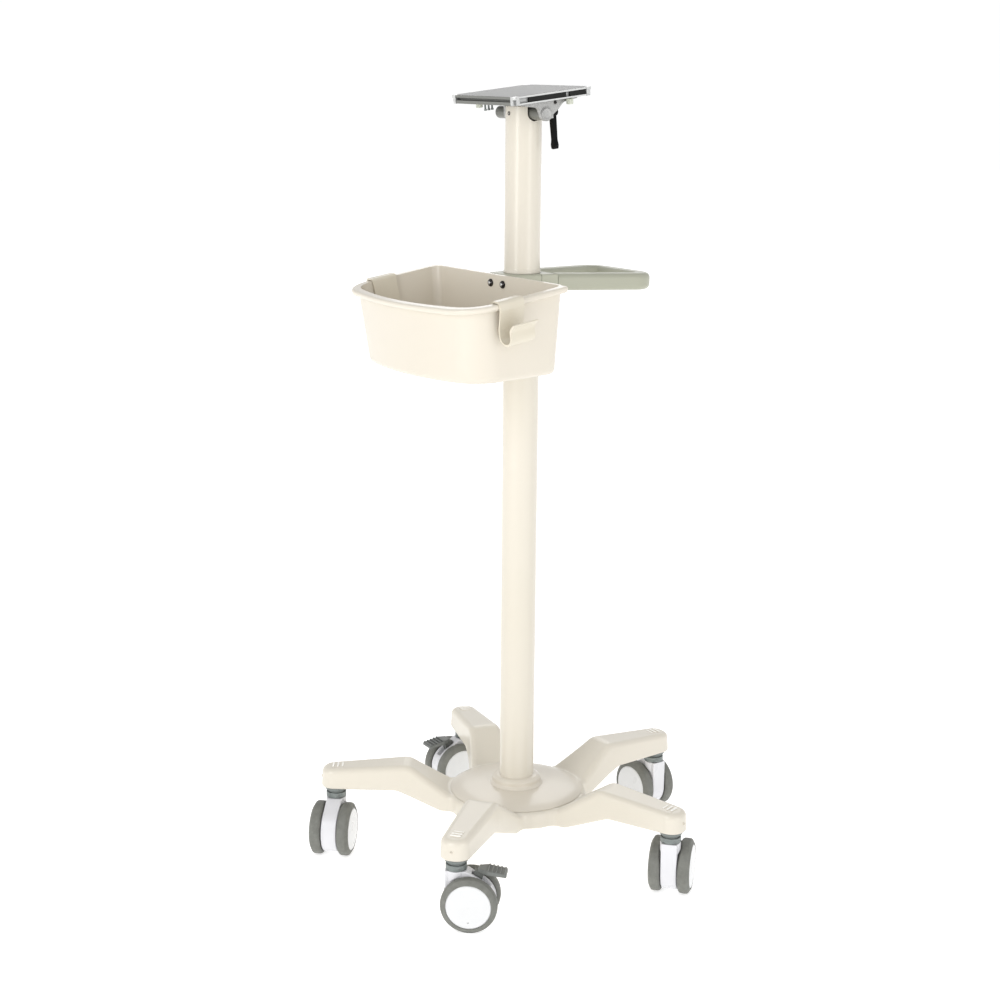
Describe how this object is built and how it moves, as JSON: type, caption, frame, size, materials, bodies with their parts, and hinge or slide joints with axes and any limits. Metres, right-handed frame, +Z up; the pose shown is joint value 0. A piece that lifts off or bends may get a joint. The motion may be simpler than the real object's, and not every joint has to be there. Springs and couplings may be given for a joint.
{
  "type": "medical equipment roll stand",
  "caption": "Roll stand for bedside medical equipment: cast base on twin-wheel casters, column, push handle, basket with side hooks and tilting top plate.",
  "frame": {"origin": "on the floor, under the middle of the whole stand as it is posed; the column axis is 10.7 mm in front of it", "axes": "+Z up; -Y to the front, where the basket is; +X to the right of somebody who looks at the front from behind the handle"},
  "size_m": [0.5498, 0.5497, 1.0691],
  "materials": {
    "ivory_coat": "smooth warm ivory powder coat on the cast base and the column",
    "ivory_plastic": "moulded warm ivory plastic",
    "ivory_sheet": "ivory powder-coated bent steel strip",
    "grey_grip": "satin grey-green moulded handle",
    "zinc_steel": "zinc-plated steel, slightly blue-grey",
    "black_screw": "dark oxide steel fasteners",
    "axle_steel": "bright ground steel",
    "caster_white": "white nylon caster housing",
    "cap_white": "white moulded wheel with a domed cover",
    "tyre_grey": "non-marking grey rubber tread",
    "pedal_grey": "ribbed grey nylon pedal",
    "barrel_grey": "grey-painted steel bar",
    "cast_silver": "sand-cast aluminium with a fine speckle",
    "plate_grey": "satin anodised aluminium extrusion",
    "corner_silver": "bright die-cast corner pieces",
    "strip_black": "black insert strips",
    "lever_black": "black moulded clamp lever",
    "knob_white": "off-white moulded thumb knobs"
  },
  "bodies": {
    "stand": {"base_casting": "ivory_coat", "base_cover": "ivory_plastic", "column_collar": "ivory_plastic", "leg_set_screws": "ivory_coat", "lower_column": "ivory_coat", "upper_column": "ivory_coat", "handle_hub": "grey_grip", "handle_bracket": "grey_grip", "handle_loop": "grey_grip", "hub_screws": "black_screw", "basket": "ivory_plastic", "tilt_barrel": "barrel_grey", "caster_1_stem": "zinc_steel", "caster_2_stem": "zinc_steel", "caster_3_stem": "zinc_steel", "caster_4_stem": "zinc_steel", "caster_5_stem": "zinc_steel"},
    "head": {"plate": "plate_grey", "side_strips": "strip_black", "corner_clamps": "corner_silver", "tilt_bracket": "cast_silver", "clamp_screws": "zinc_steel"},
    "lever": {"clamp_lever": "lever_black", "lever_stud": "axle_steel"},
    "knob_left": {"thumb_knob_left": "knob_white"},
    "knob_right": {"thumb_knob_right": "knob_white"},
    "hook_left": {"hook_left": "ivory_sheet"},
    "hook_right": {"hook_right": "ivory_sheet"},
    "swivel_1": {"caster_1_housing": "caster_white", "caster_1_axle": "axle_steel"},
    "wheel_1_left": {"caster_1_wheel_left": "cap_white", "caster_1_tyre_left": "tyre_grey"},
    "wheel_1_right": {"caster_1_wheel_right": "cap_white", "caster_1_tyre_right": "tyre_grey"},
    "swivel_2": {"caster_2_housing": "caster_white", "caster_2_axle": "axle_steel"},
    "wheel_2_left": {"caster_2_wheel_left": "cap_white", "caster_2_tyre_left": "tyre_grey"},
    "wheel_2_right": {"caster_2_wheel_right": "cap_white", "caster_2_tyre_right": "tyre_grey"},
    "swivel_3": {"caster_3_housing": "caster_white", "caster_3_axle": "axle_steel"},
    "wheel_3_left": {"caster_3_wheel_left": "cap_white", "caster_3_tyre_left": "tyre_grey"},
    "wheel_3_right": {"caster_3_wheel_right": "cap_white", "caster_3_tyre_right": "tyre_grey"},
    "brake_3": {"caster_3_pedal": "pedal_grey"},
    "swivel_4": {"caster_4_housing": "caster_white", "caster_4_axle": "axle_steel"},
    "wheel_4_left": {"caster_4_wheel_left": "cap_white", "caster_4_tyre_left": "tyre_grey"},
    "wheel_4_right": {"caster_4_wheel_right": "cap_white", "caster_4_tyre_right": "tyre_grey"},
    "swivel_5": {"caster_5_housing": "caster_white", "caster_5_axle": "axle_steel"},
    "wheel_5_left": {"caster_5_wheel_left": "cap_white", "caster_5_tyre_left": "tyre_grey"},
    "wheel_5_right": {"caster_5_wheel_right": "cap_white", "caster_5_tyre_right": "tyre_grey"},
    "brake_5": {"caster_5_pedal": "pedal_grey"}
  },
  "joints": [
    {"name": "plate_tilt", "type": "hinge", "parent": "stand", "child": "head", "pos_m": [0, -0.0107, 1.0337], "axis": [1, 0, 0], "range_deg": [-26, 13]},
    {"name": "lever_turn", "type": "hinge", "parent": "head", "child": "lever", "pos_m": [0.033, 0.01117, 1.03608], "axis": [0, -0.9942, -0.108], "range_deg": [0, 70]},
    {"name": "knob_left_turn", "type": "hinge", "parent": "head", "child": "knob_left", "pos_m": [-0.056, -0.04234, 1.04198], "axis": [0, -0.108, 0.9942], "continuous": true},
    {"name": "knob_right_turn", "type": "hinge", "parent": "head", "child": "knob_right", "pos_m": [0.056, 0.02169, 1.04894], "axis": [0, -0.108, 0.9942], "continuous": true},
    {"name": "hook_left_slide", "type": "slide", "parent": "stand", "child": "hook_left", "axis": [0, 0.989, 0.1478], "range_m": [0, 0.045]},
    {"name": "hook_right_slide", "type": "slide", "parent": "stand", "child": "hook_right", "axis": [0, 0.989, 0.1478], "range_m": [0, 0.045]},
    {"name": "caster_1_swivel", "type": "hinge", "parent": "stand", "child": "swivel_1", "pos_m": [0.24347, 0.06841, 0.0792], "axis": [0, 0, 1], "continuous": true},
    {"name": "wheel_1_left_spin", "type": "hinge", "parent": "swivel_1", "child": "wheel_1_left", "pos_m": [0.21594, 0.07011, 0.0375], "axis": [-0.766, -0.6428, 0], "continuous": true},
    {"name": "wheel_1_right_spin", "type": "hinge", "parent": "swivel_1", "child": "wheel_1_right", "pos_m": [0.24658, 0.09582, 0.0375], "axis": [-0.766, -0.6428, 0], "continuous": true},
    {"name": "caster_2_swivel", "type": "hinge", "parent": "stand", "child": "swivel_2", "pos_m": [0, 0.2453, 0.0792], "axis": [0, 0, 1], "continuous": true},
    {"name": "wheel_2_left_spin", "type": "hinge", "parent": "swivel_2", "child": "wheel_2_left", "pos_m": [-0.019, 0.2253, 0.0375], "axis": [0, -1, 0], "continuous": true},
    {"name": "wheel_2_right_spin", "type": "hinge", "parent": "swivel_2", "child": "wheel_2_right", "pos_m": [-0.019, 0.2653, 0.0375], "axis": [0, -1, 0], "continuous": true},
    {"name": "caster_3_swivel", "type": "hinge", "parent": "stand", "child": "swivel_3", "pos_m": [-0.24347, 0.06841, 0.0792], "axis": [0, 0, 1], "continuous": true},
    {"name": "wheel_3_left_spin", "type": "hinge", "parent": "swivel_3", "child": "wheel_3_left", "pos_m": [-0.2252, 0.04774, 0.0375], "axis": [0.9962, -0.0872, 0], "continuous": true},
    {"name": "wheel_3_right_spin", "type": "hinge", "parent": "swivel_3", "child": "wheel_3_right", "pos_m": [-0.26505, 0.05122, 0.0375], "axis": [0.9962, -0.0872, 0], "continuous": true},
    {"name": "brake_3_press", "type": "hinge", "parent": "swivel_3", "child": "brake_3", "pos_m": [-0.24582, 0.04151, 0.063], "axis": [0.9962, -0.0872, 0], "range_deg": [0, 10]},
    {"name": "caster_4_swivel", "type": "hinge", "parent": "stand", "child": "swivel_4", "pos_m": [-0.15047, -0.21781, 0.0792], "axis": [0, 0, 1], "continuous": true},
    {"name": "wheel_4_left_spin", "type": "hinge", "parent": "swivel_4", "child": "wheel_4_left", "pos_m": [-0.1229, -0.2171, 0.0375], "axis": [0.7071, 0.7071, 0], "continuous": true},
    {"name": "wheel_4_right_spin", "type": "hinge", "parent": "swivel_4", "child": "wheel_4_right", "pos_m": [-0.15118, -0.24539, 0.0375], "axis": [0.7071, 0.7071, 0], "continuous": true},
    {"name": "caster_5_swivel", "type": "hinge", "parent": "stand", "child": "swivel_5", "pos_m": [0.15047, -0.21781, 0.0792], "axis": [0, 0, 1], "continuous": true},
    {"name": "wheel_5_left_spin", "type": "hinge", "parent": "swivel_5", "child": "wheel_5_left", "pos_m": [0.14832, -0.19031, 0.0375], "axis": [-0.7431, 0.6691, 0], "continuous": true},
    {"name": "wheel_5_right_spin", "type": "hinge", "parent": "swivel_5", "child": "wheel_5_right", "pos_m": [0.17805, -0.21707, 0.0375], "axis": [-0.7431, 0.6691, 0], "continuous": true},
    {"name": "brake_5_press", "type": "hinge", "parent": "swivel_5", "child": "brake_5", "pos_m": [0.16854, -0.19774, 0.063], "axis": [-0.7431, 0.6691, 0], "range_deg": [0, 10]}
  ]
}
